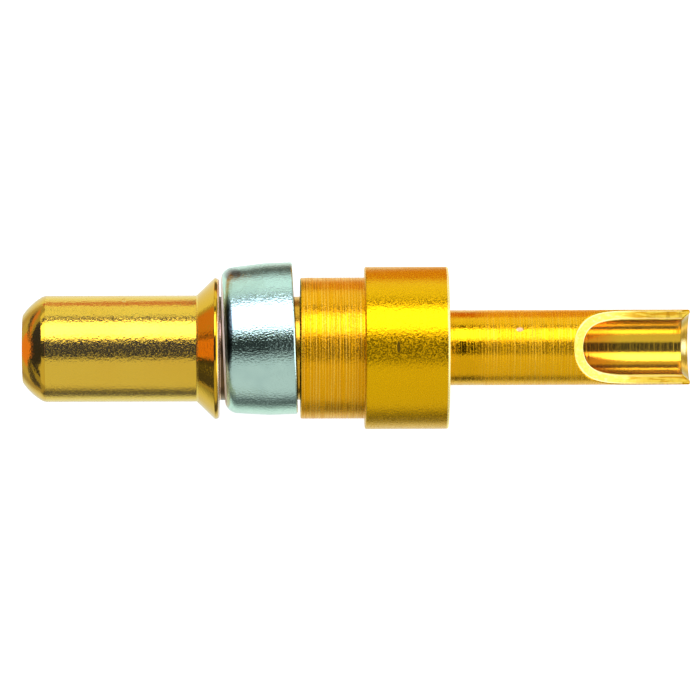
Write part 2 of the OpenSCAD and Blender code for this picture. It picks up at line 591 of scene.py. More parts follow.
@dataclass(frozen=True)
class GoldFinish:
    """Bright gold plating over turned brass, zone by zone along the contact.

    Places are in mm, heights in micrometres. A noise shows between its two levels, and a
    roughness that is a pair has a base and what a noise adds to it.
    """

    zones: tuple[Zone, ...] = (
        Zone(-12.00, (0.83, 0.50, 0.025), 0.07, 4.0, 0.0, 0.4, 0.3, 0.08, 0.00),
        Zone(-10.85, (0.93, 0.61, 0.042), 0.07, 8.0, 0.0, 1.2, 0.5, 0.18, 0.00),
        Zone(-5.69, (0.81, 0.48, 0.020), 0.07, 3.0, 0.0, 0.2, 0.15, 0.00, 0.00),
        # Painted highlight: the rim's land is made paler and its rear round cream.
        Zone(-5.06, (0.97, 0.71, 0.130), 0.12, 4.0, 0.0, 0.3, 0.4, 0.00, 0.10),
        Zone(-5.02, (0.95, 0.69, 0.50), 0.25, 4.0, 0.0, 0.3, 0.4, 0.00, 0.00),
        # Painted shade: the rim's rear face, the gap behind it and the neck under the clip are made
        # dark.
        Zone(-4.91, (0.07, 0.050, 0.030), 0.30, 5.0, 0.0, 0.5, 0.4, 0.00, 0.00),
        Zone(-4.40, (0.40, 0.25, 0.080), 0.20, 4.0, 1.0, 0.5, 0.2, 0.25, 0.00),
        Zone(-2.60, (0.92, 0.50, 0.030), 0.20, 4.0, 1.0, 0.5, 0.2, 0.10, 0.05),
        Zone(-2.18, (0.92, 0.44, 0.004), 0.13, 6.0, 2.0, 1.0, 0.0, 0.30, 0.24),
        Zone(0.00, (0.90, 0.50, 0.0030), 0.16, 8.0, 0.0, 1.3, 0.0, 0.22, 0.13),
        Zone(2.83, (0.94, 0.49, 0.0055), 0.13, 5.0, 2.0, 1.0, 0.0, 0.26, 0.24),
    )
    span: Point = (-12.0, 12.0)

    # Painted highlight: the flange's rear round, the glint in the bore's mouth and the burr strips on
    # the run-out.
    painted_pale_highlight: Colour = (1.0, 0.88, 0.32)
    # Painted shade in the bore's mouth and along its edge.
    painted_shade_brown: Colour = (0.58, 0.34, 0.015)
    dark: Colour = (0.05, 0.035, 0.005)
    milled_colour: Colour = (1.0, 0.73, 0.070)
    run_out_colour: Colour = (0.96, 0.84, 0.13)
    bored_colour: Colour = (0.95, 0.58, 0.033)
    # Painted highlight along the burr strips of the straight walls.
    lip_colour: Colour = (1.0, 0.80, 0.22)
    # The plating's drift, a painted highlight on the tool's ridges and painted shade in its grooves,
    # and a painted highlight on the flange's pale rear edge.
    turned_patches: tuple[Patch, ...] = (
        Patch((0.86, 0.42, 0.004), 0.2, {"drift": (0.35, 0.75)}),
        Patch((1.0, 0.64, 0.09), 0.42, {"lined": (), "line": (0.15, 0.6)}),
        Patch((0.80, 0.34, 0.003), 0.55, {"lined": (), "line": (-0.15, -0.6)}),
        Patch(painted_pale_highlight, 0.85, {"ring": ()}),
    )
    # The bore's deep end in painted shade, a painted highlight on its steep upper sides, its mouth in
    # painted shade, a painted glint in it and a painted dark reflection along its edge.
    bored_patches: tuple[Patch, ...] = (
        Patch((0.95, 0.34, 0.012), 0.75, {"along": (8.9, 7.9)}),
        Patch((0.97, 0.76, 0.34), 1.0, {"aside": (0.60, 0.76), "along": (10.78, 10.70)}),
        Patch(painted_shade_brown, 0.9, {"along": (10.76, 10.80)}),
        Patch(painted_pale_highlight, 0.8, {"along": (10.78, 10.84), "aside": (0.34, 0.14)}),
        Patch(painted_shade_brown, 0.8, {"along": (10.97, 11.02)}),
    )
    # The scored lines in painted shade, painted highlights on the bright lines of the run-out, and
    # darker brown streaks towards the cup's end, heavier on the +Y wall.
    milled_patches: tuple[Patch, ...] = (
        Patch((0.78, 0.38, 0.010), 1.0, {"tool_lines": (0.51, 0.43), "along": (8.3, 9.6, 0.25, 0.85)}),
        Patch((1.0, 0.93, 0.40), 0.5, {"tool_lines": (0.54, 0.66), "along": (9.6, 8.3)}),
        Patch(
            (0.42, 0.17, 0.005),
            1.0,
            {"along": (8.6, 10.4), "mill_lines": (0.50, 0.36), "across": (0.0, 0.6, 0.15, 0.4)},
        ),
    )
    # The stain on the tail, the nick in the flange and the clip's shadow on the neck.
    marks: tuple[Patch, ...] = (
        Patch((0.80, 0.58, 0.34), 0.8, {"stain": ()}),
        Patch(dark, 0.9, {"nick": ()}),
        Patch(dark, 0.9, {"shadow": ()}),
    )

    nick: Spot = Spot(1.09, 0.03, 0.075, 0.26)
    stain: Spot = Spot(5.22, 0.61, 0.14, 0.085)
    speck: Spot = Spot(-8.13, 1.63, 0.07, 0.06)
    clip_shadow: Point = (-2.45, -2.31)
    line_soft: float = 0.012
    # Where the painted highlight on the flange's rear round lies.
    ring_span: Point = (2.755, 2.84)
    ring_radii: Point = (2.66, 2.71)
    smooth_span: Point = (2.9, 3.9)
    smooth_soft: float = 0.4
    tail_start: Point = (2.6, 2.9)
    run_out_end: Point = (8.3, 9.6)
    burr_end: Point = (10.82, 10.74)

    peel: Grain = Grain((10500.0,) * 3)
    fine: Grain = Grain((24000.0,) * 3, 1.0)
    streak: Grain = Grain((11000.0, 220.0, 220.0))
    mill_lines: Grain = Grain((8000.0, 2500.0, 2500.0), 3.0, 0.6)
    tool_lines: Grain = Grain((1300.0, 12000.0, 12000.0))
    scratches: Grain = Grain((11000.0, 700.0, 700.0))
    drift: Grain = Grain((420.0,) * 3, 1.0)
    dots: Grain = Grain((17000.0, 21000.0, 21000.0), 3.0)
    threads: Grain = Grain((27000.0, 300.0, 300.0), 1.0)
    pit_levels: Point = (0.42, 0.72)
    dot_levels: Point = (0.44, 0.62)
    thread_levels: Point = (0.30, 0.58)
    thread_breaks: Point = (0.40, 0.56)
    line_levels: Point = (0.25, 0.65)
    streaked_from: float = 0.06

    line_pitch: float = 0.1
    line_wander: float = 9.0
    tail_lines: float = 0.5
    thread_floor: float = 0.25
    mill_height: float = 14.0
    tool_height: float = 10.0
    bore_peel: float = 2.0
    bore_scratch: float = 7.0
    nick_depth: float = 4.0
    stain_height: float = 20.0
    speck_depth: float = 12.0
    smooth_rough: float = 0.6
    peel_rough: Point = (0.85, 0.3)
    nick_rough: float = 0.4
    stain_rough: float = 0.25
    milled_rough: float = 0.52
    burr_rough: float = 0.5
    bored_rough: float = 0.17
    coat_rough: float = 0.6
    bored_veil: float = 0.2
    burr_matte: float = 0.7
    milled_matte: float = 0.3
    ring_matte: float = 0.5


class GoldPlating(Surface):
    """The contact's material, made in steps that share their masks and noises."""

    def __init__(self, look: GoldFinish) -> None:
        """Makes the material.

        Args:
            look: How the plating looks.
        """
        super().__init__("gold_plating_finish")
        self.look = look
        named = ({"attribute_name": cut.value} for cut in Cut)
        cuts = [self.kit.add("ShaderNodeAttribute", name, output="Fac") for name in named]
        self.milled, self.bored, burr = cuts
        self.burr = burr * self.along.step(*look.burr_end)
        self.turned = (1.0 - self.milled) * (1.0 - self.bored) * (1.0 - self.burr)
        tall = Zone.TALLEST
        heights = [(z.peel / tall, z.streak / tall, z.pit / tall) for z in look.zones]
        self.peel_height, self.streak_height, self.pit_height = self.split(heights)
        self.veil, self.haze, self.matte = self.split([(z.veil, z.haze, z.matte) for z in look.zones])
        grains = (look.peel, look.fine, look.streak, look.mill_lines, look.tool_lines)
        noises = [self.noise(grain) for grain in grains]
        self.peel, self.fine, self.streak, self.mill_lines, self.tool_lines = noises
        self.nick = look.nick.mask(self)
        self.stain = look.stain.mask(self) * self.turned
        self.lathed = 1.0 - self.along.between(*look.smooth_span, look.smooth_soft)
        self.streaked = self.streak_height.step(0.0, look.streaked_from)
        radius = (self.across**2.0 + self.up**2.0) ** 0.5
        # Painted highlight on the flange's rear round.
        self.ring = self.along.between(*look.ring_span, look.line_soft) * radius.step(*look.ring_radii)
        self.drift = self.noise(look.drift)
        # The feed's sine gives light and dark lines in colour only: a painted highlight on the ridges
        # and painted shade in the grooves.
        feed = self.along * (math.tau / look.line_pitch) + look.line_wander * self.streak
        self.line = feed.math("SINE") * self.streak.step(*look.line_levels)
        faded = self.along.step(*look.tail_start, 1.0, look.tail_lines)
        self.lined = self.streaked * self.lathed * faded
        leaned = self.along + CLIP_LEAN * self.across
        self.shadow = leaned.between(*look.clip_shadow, look.line_soft)
        self.set("Base Color", self.colour())
        self.set("Roughness", self.roughness())
        self.set("Metallic", self.metallic())
        self.set("Coat Weight", self.veil * self.turned + self.bored * look.bored_veil)
        self.set("Coat Roughness", look.coat_rough)
        self.bump(self.relief(), MICROMETRE)

    def ramp(self, values: list[Colour]) -> Field:
        """Gives a value that changes from zone to zone.

        Args:
            values: One colour for each zone.

        Returns:
            The value's field.
        """
        low, high = self.look.span
        stops = [((z.start - low) / (high - low), v) for z, v in zip(self.look.zones, values)]
        place = (self.along - low) / (high - low)
        ramp = self.kit.add("ShaderNodeValToRGB", {"stops": stops}, {0: place})
        ramp.socket.node.color_ramp.interpolation = "CONSTANT"
        return ramp

    def split(self, values: list[Colour]) -> tuple[Field, ...]:
        """Gives three numbers that change from zone to zone."""
        parts = self.kit.add("ShaderNodeSeparateColor", {}, {0: self.ramp(values)})
        return tuple(parts.of(name) for name in ("Red", "Green", "Blue"))

    def relief(self) -> Field:
        """Gives the height of the plating's texture.

        Returns:
            The height's field, in micrometres.
        """
        look = self.look
        plain = self.peel_height * self.peel + self.streak_height * self.lathed * self.streak
        plain = plain + self.pit_height * self.fine.step(*look.pit_levels)
        height = self.turned * Zone.TALLEST * plain
        lines = look.mill_height * self.mill_lines + look.tool_height * self.tool_lines
        height = height + self.milled * lines
        bore = look.bore_peel * self.peel + look.bore_scratch * self.noise(look.scratches)
        height = height + self.bored * bore
        height = height - self.nick * look.nick_depth + self.stain * self.peel * look.stain_height
        return height - look.speck.mask(self) * look.speck_depth

    def colour(self) -> Field:
        """Gives the colour of the whole contact, cut by cut.

        Returns:
            The colour's field.
        """
        look, mix = self.look, self.kit.mix
        straight = self.along.step(*look.run_out_end)
        colour = self.patched(self.ramp([z.colour for z in look.zones]), look.turned_patches)
        scoop = mix(straight, look.run_out_colour, look.milled_colour)
        colour = mix(self.milled, colour, self.patched(scoop, look.milled_patches))
        colour = mix(self.bored, colour, self.patched(look.bored_colour, look.bored_patches))
        # The burr strips along the cut edges carry a painted highlight: pale on the run-out, yellow
        # along the straight walls.
        colour = mix(self.burr, colour, mix(straight, look.painted_pale_highlight, look.lip_colour))
        return self.patched(colour, look.marks)

    def roughness(self) -> Field:
        """Gives the roughness, with fine specks that are rougher than the rest.

        Returns:
            The roughness's field.
        """
        look = self.look
        dots = self.noise(look.dots).step(*look.dot_levels)
        threads = self.noise(look.threads).step(*look.thread_levels)
        threads = threads * self.fine.step(*look.thread_breaks, look.thread_floor, 1.0)
        specks = dots + self.streaked * (threads - dots)
        rough = self.ramp([(z.rough,) * 3 for z in look.zones])
        rough = rough * (look.smooth_rough + (1.0 - look.smooth_rough) * self.lathed)
        base, gain = look.peel_rough
        rough = rough * (base + gain * self.peel) + self.haze * specks + self.nick * look.nick_rough
        rough = rough * self.turned + self.milled * look.milled_rough + self.burr * look.burr_rough
        return rough + self.bored * look.bored_rough + self.stain * look.stain_rough

    def metallic(self) -> Field:
        """Gives how much of the light is mirrored and not scattered.

        Returns:
            The share's field.
        """
        look = self.look
        # The painted highlights on the burr strips and on the flange's rear round are made partly
        # matte.
        plain = 1.0 - self.matte * self.turned * self.lathed - self.burr * look.burr_matte
        return plain - self.milled * look.milled_matte - self.ring * look.ring_matte


@dataclass(frozen=True)
class SteelFinish:
    """Bright rolled spring steel with a fine rolled grain.

    Places are in mm, the grain's height in micrometres. The grain's roughness is a base and what
    the grain adds to it.
    """

    colour: Colour = (0.61, 0.87, 0.72)
    # The dull clouds, the smudge, painted shade on the roll behind the front edge and a painted
    # highlight along the front of the lip.
    patches: tuple[Patch, ...] = (
        Patch((0.52, 0.76, 0.64), 1.0, {"cloud": (0.4, 0.7)}),
        Patch((0.22, 0.22, 0.20), 0.8, {"smudge": (), "cloud": (0.35, 0.55)}),
        Patch((0.02, 0.03, 0.03), 0.93, {"shade": ()}),
        Patch((1.0, 0.95, 0.74), 0.95, {"front": ()}),
    )
    smudge: Spot = Spot(-4.45, 2.48, 0.34, 0.26)
    # Painted shade on the roll behind the lip's front edge.
    shade: Spot = Spot(-4.62, 0.55, 0.20, 1.45)
    # Painted highlight along the lip's front edge, also made less metallic and rougher.
    front: Point = (-4.71, -4.74)
    grain: Grain = Grain((11000.0, 17000.0, 17000.0), 3.0, 0.55)
    cloud: Grain = Grain((900.0,) * 3)
    rough: float = 0.09
    grain_rough: Point = (0.7, 0.6)
    grain_height: float = 11.5
    front_rough: float = 0.3
    front_matte: float = 0.9


class SpringSteel(Surface):
    """The clip's material."""

    def __init__(self, look: SteelFinish) -> None:
        """Makes the material.

        Args:
            look: How the steel looks.
        """
        super().__init__("spring_steel_finish")
        grain, self.cloud = self.noise(look.grain), self.noise(look.cloud)
        self.smudge, self.shade = look.smudge.mask(self), look.shade.mask(self)
        # Painted highlight along the lip's front edge.
        self.front = (self.along + CLIP_LEAN * self.across).step(*look.front)
        self.set("Base Color", self.patched(look.colour, look.patches))
        self.set("Metallic", 1.0 - look.front_matte * self.front)
        base, gain = look.grain_rough
        self.set("Roughness", look.rough * (base + gain * grain) + look.front_rough * self.front)
        self.bump(grain, look.grain_height * MICROMETRE)


class Piece:
    """What the two pieces share: a turned mesh to work on, and the object that it becomes."""

    @staticmethod
    def start(turned: bpy.types.Mesh) -> bmesh.types.BMesh:
        """Opens a turned mesh to work on it.

        Args:
            turned: The mesh, which is removed.

        Returns:
            Its faces, in metres.
        """
        work = bmesh.new()
        work.from_mesh(turned)
        bpy.data.meshes.remove(turned)
        return work

    @staticmethod
    def finish(
        name: str, work: bmesh.types.BMesh, material: bpy.types.Material, slot: Slot, node: str
    ) -> bpy.types.Object:
        """Makes the piece's object and tells the frame about it.

        Args:
            name: The piece's name.
            work: Its closed mesh, in metres.
            material: Its finish.
            slot: The record's material slot; not used.
            node: The CAD node that it stands for.

        Returns:
            The piece.
        """
        bmesh.ops.recalc_face_normals(work, faces=work.faces)
        for face in work.faces:
            face.smooth = True
        loose = sum(not e.is_manifold for e in work.edges)
        mesh = bpy.data.meshes.new(name)
        work.to_mesh(mesh)
        work.free()
        mesh.set_sharp_from_angle(angle=SHARP_EDGE)
        mesh.materials.clear()
        mesh.materials.append(material)
        piece = bpy.data.objects.new(name, mesh)
        bpy.context.scene.collection.objects.link(piece)
        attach(piece, Body.ROOT.value)
        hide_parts(node)
        if loose:
            LOG.warning("%s has %d open edges", name, loose)
        return piece


@dataclass
class TurnedContact(Piece):
    """The turned contact, from its domed nose to its solder cup. Sizes are in mm."""

    pin_r: float = 1.8
    pin_len: float = 5.16
    nose_len: float = 0.72
    nose_flat_r: float = 1.15
    nose_blend: float = 0.4
    rim_r: float = 2.39
    rim_land: float = 0.16
    rim_front_round: float = 0.035
    rim_rear_round: float = 0.11
    cone_angle: float = math.radians(44.0)
    neck_r: float = 1.75
    neck_len: float = 2.74
    shoulder_r: float = 2.39
    shoulder_len: float = 2.18
    flange_r: float = 2.75
    flange_len: float = 2.83
    edge_break: float = 0.06
    root_round: float = 0.03
    tail_r: float = 1.275
    tail_len: float = 8.22
    cup_r: float = 0.925
    cup_depth: float = 5.2
    drill_point: float = math.radians(118.0)
    scoop_len: float = 4.0
    mill_r: float = 3.3
    mouth_len: float = 0.25
    mouth_r: float = 1.155
    burr: float = 0.035
    burr_run: float = 0.12
    mark_depth: float = 0.0026
    mark_pitch: float = 0.1
    mark_run: float = 0.12
    mark_gap: float = 0.1
    shoulder_fade: float = 0.08
    tail_fade: float = 0.9
    tail_pitch_share: float = 0.72
    segments: int = 120

    NOSE_RING_SHARE = 0.6
    NOSE_EDGE = 0.03
    PIN_RUN = 0.15
    STEP_RUN = 0.09
    DOME_STEPS, BLEND_STEPS = 22, 8
    SHOULDER_MARK_STEPS, TAIL_MARK_STEPS = 6, 4
    RUN_OUT_ROWS, TROUGH_ROWS, STRAIGHT_ROWS, MOUTH_ROWS, ROUND_ROWS = 15, 41, 9, 4, 6
    DRILL_POINT_ROWS, CLOSED_BORE_ROWS = 7, 9
    FLAT_SHARES = (0.0, 0.12, 0.5, 0.88, 1.0)
    SAME_STATION = 1e-6
    STATION_PLACES = 7

    def __post_init__(self) -> None:
        """Works out the stations along the contact."""
        self.end_x = self.flange_len + self.tail_len
        self.neck_x = -self.shoulder_len - self.neck_len
        self.rim_x = self.neck_x - self.rim_land
        self.cone_x = self.rim_x - (self.rim_r - self.pin_r) / math.tan(self.cone_angle)
        self.pin_x = self.cone_x - self.pin_len
        self.nose_x = self.pin_x - self.nose_len
        self.scoop_x = self.end_x - self.scoop_len
        self.mill_x = self.scoop_x + math.sqrt(self.mill_r**2 - (self.mill_r - self.tail_r) ** 2)
        self.open_x = self.mill_x - math.sqrt(self.mill_r**2 - (self.mill_r - self.cup_r) ** 2)
        self.mouth_x = self.end_x - self.mouth_len
        self.round_x = self.end_x - self.edge_break
        self.bottom_x = self.end_x - self.cup_depth

    def section(self) -> Section:
        """Draws the turned outside from the nose to the start of the scoop.

        Returns:
            The half section.
        """
        drawn = Section()
        flat, pin, blend = self.nose_flat_r, self.pin_r, self.nose_blend
        depth = (self.nose_len**2 + pin**2 - flat**2) / (2.0 * self.nose_len)
        dome_r = math.hypot(depth, flat)
        centre = (self.nose_x + depth, 0.0)
        for ring in (0.0, flat * self.NOSE_RING_SHARE, flat - self.NOSE_EDGE):
            drawn.add(self.nose_x, ring)
        back = math.sqrt((dome_r - blend) ** 2 - (pin - blend) ** 2)
        end = math.atan2(pin - blend, -back)
        drawn.arc(centre, dome_r, math.atan2(flat, -depth), end, self.DOME_STEPS)
        drawn.arc((centre[0] - back, pin - blend), blend, end, math.pi / 2.0, self.BLEND_STEPS)
        edge, root, mark_x = self.edge_break, self.root_round, -self.shoulder_len + self.mark_run
        drawn.rounded(
            [
                (self.pin_x + self.PIN_RUN, pin, 0.0),
                (self.cone_x, pin, root),
                (self.rim_x, self.rim_r, self.rim_front_round),
                (self.neck_x, self.rim_r, self.rim_rear_round),
                (self.neck_x, self.neck_r, root),
                (-self.shoulder_len, self.neck_r, root),
                (-self.shoulder_len, self.shoulder_r, edge),
                (mark_x, self.shoulder_r, 0.0),
            ]
        )
        marks = (self.mark_pitch, self.shoulder_fade, self.SHOULDER_MARK_STEPS)
        drawn.marked(mark_x, -self.mark_gap, self.shoulder_r, *marks)
        drawn.rounded(
            [
                (-self.STEP_RUN, self.shoulder_r, 0.0),
                (0.0, self.shoulder_r, root),
                (0.0, self.flange_r, edge),
                (self.flange_len, self.flange_r, edge),
                (self.flange_len, self.tail_r, root),
                (self.flange_len + self.mark_gap, self.tail_r, 0.0),
            ]
        )
        marks = (self.mark_pitch * self.tail_pitch_share, self.tail_fade, self.TAIL_MARK_STEPS)
        drawn.marked(self.flange_len + self.mark_run, self.scoop_x, self.tail_r, *marks)
        return drawn

    def cup_stations(self) -> np.ndarray:
        """Gives the rows of the cup, close together where its edges turn back.

        Returns:
            The stations from the start of the scoop to the end of the contact.
        """

        def eased(start: float, end: float, count: int) -> np.ndarray:
            """Gives rows that start close together."""
            return start + (end - start) * np.linspace(0.0, 1.0, count) ** 2

        quarter = np.linspace(0.0, math.pi / 2.0, self.ROUND_ROWS)
        rows = (
            eased(self.scoop_x, self.open_x, self.RUN_OUT_ROWS),
            eased(self.open_x, self.mill_x, self.TROUGH_ROWS),
            np.linspace(self.mill_x, self.mouth_x, self.STRAIGHT_ROWS),
            np.linspace(self.mouth_x, self.round_x, self.MOUTH_ROWS),
            self.round_x + self.edge_break * np.sin(quarter),
        )
        return np.unique(np.concatenate(rows).round(self.STATION_PLACES))

    def scoop_height(self, x: np.ndarray) -> np.ndarray:
        """Gives how high the milled scoop leaves the tail at each station."""
        run = np.clip(self.mill_x - x, 0.0, None)
        return self.mill_r - np.sqrt(self.mill_r**2 - run**2)

    def outer_radius(self, x: np.ndarray) -> np.ndarray:
        """Gives the tail's outside, with the round at its end."""
        past = np.clip(x - self.round_x, 0.0, self.edge_break)
        return self.tail_r - self.edge_break + np.sqrt(self.edge_break**2 - past**2)

    def inner_radius(self, x: np.ndarray) -> np.ndarray:
        """Gives the bore's wall, with its drill point and its countersunk mouth.

        Args:
            x: The stations.

        Returns:
            The bore's radius at each one.
        """
        mouth = np.clip((x - self.end_x) / self.mouth_len + 1.0, 0.0, 1.0)
        drilled = self.cup_r - np.clip(self.bottom_x - x, 0.0, None) * math.tan(self.drill_point / 2.0)
        return np.clip(drilled, 0.0, None) + mouth * (self.mouth_r - self.cup_r)

    def wall(self, x: np.ndarray, radius: np.ndarray, top: np.ndarray) -> np.ndarray:
        """Lays rows of points round a wall, from one of its upper edges to the other.

        Args:
            x: The stations.
            radius: The wall's radius at each one.
            top: The height at which the wall ends there.

        Returns:
            The points, row by row.
        """
        share = np.clip(-top / np.maximum(radius, TINY), -1.0, 1.0)
        turn = np.arccos(share)[:, None] * np.linspace(-1.0, 1.0, self.segments + 1)[None, :]
        rows = np.broadcast_to(x[:, None], turn.shape)
        return np.stack((rows, radius[:, None] * np.sin(turn), -radius[:, None] * np.cos(turn)), -1)

    @staticmethod
    def half_width(radius: np.ndarray, height: np.ndarray) -> np.ndarray:
        """Gives how far a round wall is from the middle at a height."""
        return np.sqrt(np.clip(radius**2 - height**2, 0.0, None))

    def add_cup(self, work: bmesh.types.BMesh) -> None:
        """Adds the solder cup to the turned outside.

        Args:
            work: The contact's mesh, in metres, open at the start of the scoop.
        """
        x = self.cup_stations()
        height = self.scoop_height(x)
        outer, inner = self.outer_radius(x), self.inner_radius(x)
        shut = x <= self.open_x + self.SAME_STATION
        outer_burr = self.burr * np.clip((x - self.scoop_x) / self.burr_run, 0.0, 1.0)
        inner_burr = self.burr * np.clip((x - self.open_x) / self.burr_run, 0.0, 1.0)
        outer_z, inner_z = height - outer_burr, np.where(shut, height, height - inner_burr)
        outside = self.wall(x, outer, outer_z)
        tip_x = self.bottom_x - self.cup_r / math.tan(self.drill_point / 2.0)
        point = np.linspace(tip_x, self.bottom_x, self.DRILL_POINT_ROWS)
        closed = np.linspace(self.bottom_x, self.scoop_x, self.CLOSED_BORE_ROWS)[1:-1]
        deep = np.concatenate((point, closed))
        deep_r = self.inner_radius(deep)
        inside = self.wall(x, inner, np.where(shut, inner, inner_z))
        bore = np.concatenate((self.wall(deep, deep_r, deep_r), inside))
        self.add_grid(work, outside, None)
        self.add_grid(work, bore, Cut.BORED)

        out_y = self.half_width(outer, height)
        low = np.minimum(np.where(shut, 0.0, self.half_width(inner, height)) + inner_burr, out_y)
        high = np.maximum(out_y - outer_burr, low)
        flat_y = high[:, None] + (low - high)[:, None] * np.array(self.FLAT_SHARES)[None, :]
        flat_z = np.broadcast_to(height[:, None], flat_y.shape)
        wall_out = self.half_width(outer, outer_z)
        wall_in = np.where(shut, 0.0, self.half_width(inner, inner_z))
        strip_y = np.concatenate((wall_out[:, None], flat_y, wall_in[:, None]), 1)
        strip_z = np.concatenate((outer_z[:, None], flat_z, inner_z[:, None]), 1)
        strip_x = np.broadcast_to(x[:, None], strip_y.shape)
        opened = int(np.count_nonzero(shut))
        for side in (1.0, -1.0):
            strip = np.stack((strip_x, side * strip_y, strip_z), -1)
            self.add_grid(work, strip[:, :2], None)
            self.add_grid(work, strip[:, 1:3], Cut.BURR)
            self.add_grid(work, strip[:, 2:-2], Cut.MILLED)
            self.add_grid(work, strip[:opened, -3:-1], Cut.MILLED)
            self.add_grid(work, strip[opened - 1 :, -3:-1], Cut.BURR)
            self.add_grid(work, strip[:, -2:], Cut.MILLED)
            work.faces.new([work.verts.new(p * MM) for p in strip[-1]])
        self.add_grid(work, np.stack((outside[-1], bore[-1])), None)

    @staticmethod
    def add_grid(work: bmesh.types.BMesh, points: np.ndarray, cut: Cut | None) -> None:
        """Adds a grid of points in mm to a mesh, with its faces.

        Args:
            work: The mesh, in metres.
            points: The points, row by row.
            cut: How the surface was made, if it wasn't turned.
        """
        rows = [[work.verts.new(p * MM) for p in row] for row in points]
        layer = work.faces.layers.float[cut.value] if cut else None
        for lower, upper in zip(rows, rows[1:]):
            for i in range(len(lower) - 1):
                face = work.faces.new((lower[i], lower[i + 1], upper[i + 1], upper[i]))
                if layer:
                    face[layer] = 1.0

    def build(self, lathe: Lathe, material: bpy.types.Material) -> bpy.types.Object:
        """Builds the contact.

        Args:
            lathe: The tree that turns its outside.
            material: Its finish.

        Returns:
            The contact's piece.
        """
        turned = lathe.turn(
            "turned_outside",
            self.section(),
            material,
            segments=self.segments,
            mark_depth=self.mark_depth * MM,
            mark_pitch=self.mark_pitch * MM,
        )
        work = self.start(turned)
        for cut in Cut:
            work.faces.layers.float.new(cut.value)
        self.add_cup(work)
        bmesh.ops.remove_doubles(work, verts=work.verts, dist=WELD)
        bmesh.ops.dissolve_degenerate(work, dist=WELD, edges=work.edges)
        return self.finish("turned_contact", work, material, Slot.GOLD, "contact_body")


@dataclass
class RetainingClip(Piece):
    """The loose split clip of spring sheet on the contact's neck. Sizes are in mm."""

    length: float = 2.44
    sheet: float = 0.22
    lip_roll_r: float = 0.45
    lip_r: float = 2.03
    outside_r: float = 2.575
    band_len: float = 0.95
    band_round: float = 0.9
    slot: float = 0.7
    edge_round: float = 0.06
    start_x: float = -4.799
    shift: float = 0.26
    tilt: float = math.radians(2.0)
    sag: float = 0.08
    segments: int = 168

    ROLL_STEPS, INSIDE_ROLL_STEPS = 26, 14

    def section(self) -> Section:
        """Draws the sheet: out along its rolled lip, taper and band, and back inside.

        Returns:
            The closed half section.
        """
        roll = np.array((self.lip_roll_r, self.lip_r))
        band = np.array((self.length - self.band_len, self.outside_r))
        reach = band - roll
        lean = math.atan2(reach[1], reach[0]) + math.acos(self.lip_roll_r / float(np.hypot(*reach)))
        taper = lean - math.pi / 2.0
        out = np.array((math.cos(lean), math.sin(lean)))
        inside_r, band_inside_r = self.lip_roll_r - self.sheet, self.outside_r - self.sheet
        drawn = Section()
        drawn.arc(tuple(roll), self.lip_roll_r, math.pi, lean, self.ROLL_STEPS)
        drawn.rounded(
            [
                (*(roll + self.lip_roll_r * out), 0.0),
                (*band, self.band_round),
                (self.length, self.outside_r, self.edge_round),
                (self.length, band_inside_r, self.edge_round),
                (band[0] + self.sheet * math.tan(taper / 2.0), band_inside_r, 0.0),
                (*(roll + inside_r * out), 0.0),
            ]
        )
        drawn.arc(tuple(roll), inside_r, lean, math.pi, self.INSIDE_ROLL_STEPS)
        return drawn

    def spring(self, work: bmesh.types.BMesh) -> None:
        """Lets the upper half of the ring sag a little out of round, as a loose split ring does.

        Args:
            work: The clip's mesh, in metres, on its own axis.
        """
        for vert in work.verts:
            _, y, z = vert.co
            if z > 0.0:
                grown = 1.0 - 2.0 * self.sag * MM * y * z * z / math.hypot(y, z) ** 4
                vert.co.y, vert.co.z = y * grown, z * grown

    def build(self, lathe: Lathe, material: bpy.types.Material) -> bpy.types.Object:
        """Builds the clip.

        Args:
            lathe: The tree that turns its sheet.
            material: Its finish.

        Returns:
            The clip's piece.
        """
        turned = lathe.turn(
            "clip_sheet",
            self.section(),
            material,
            closed=True,
            segments=self.segments,
            seam=math.pi,
            slot_width=self.slot * MM,
        )
        work = self.start(turned)
        bmesh.ops.remove_doubles(work, verts=work.verts, dist=WELD)
        edges = [e for e in work.edges if e.is_boundary]
        caps = bmesh.ops.holes_fill(work, edges=edges)["faces"]
        bmesh.ops.triangulate(work, faces=caps)
        self.spring(work)
        place = Matrix.Translation((self.start_x * MM, self.shift * MM, 0.0))
        work.transform(place @ Matrix.Rotation(self.tilt, 4, "Z"))
        return self.finish("retaining_clip_sheet", work, material, Slot.STEEL, "retaining_clip")


@dataclass(frozen=True)
class Strip:
    """One strip of light round the contact, or of the floor beside it.

    Attributes:
        start: Where it starts, in degrees from straight above or in mm.
        end: Where it ends.
        light: Its light.
    """

    start: float
    end: float
    light: Colour


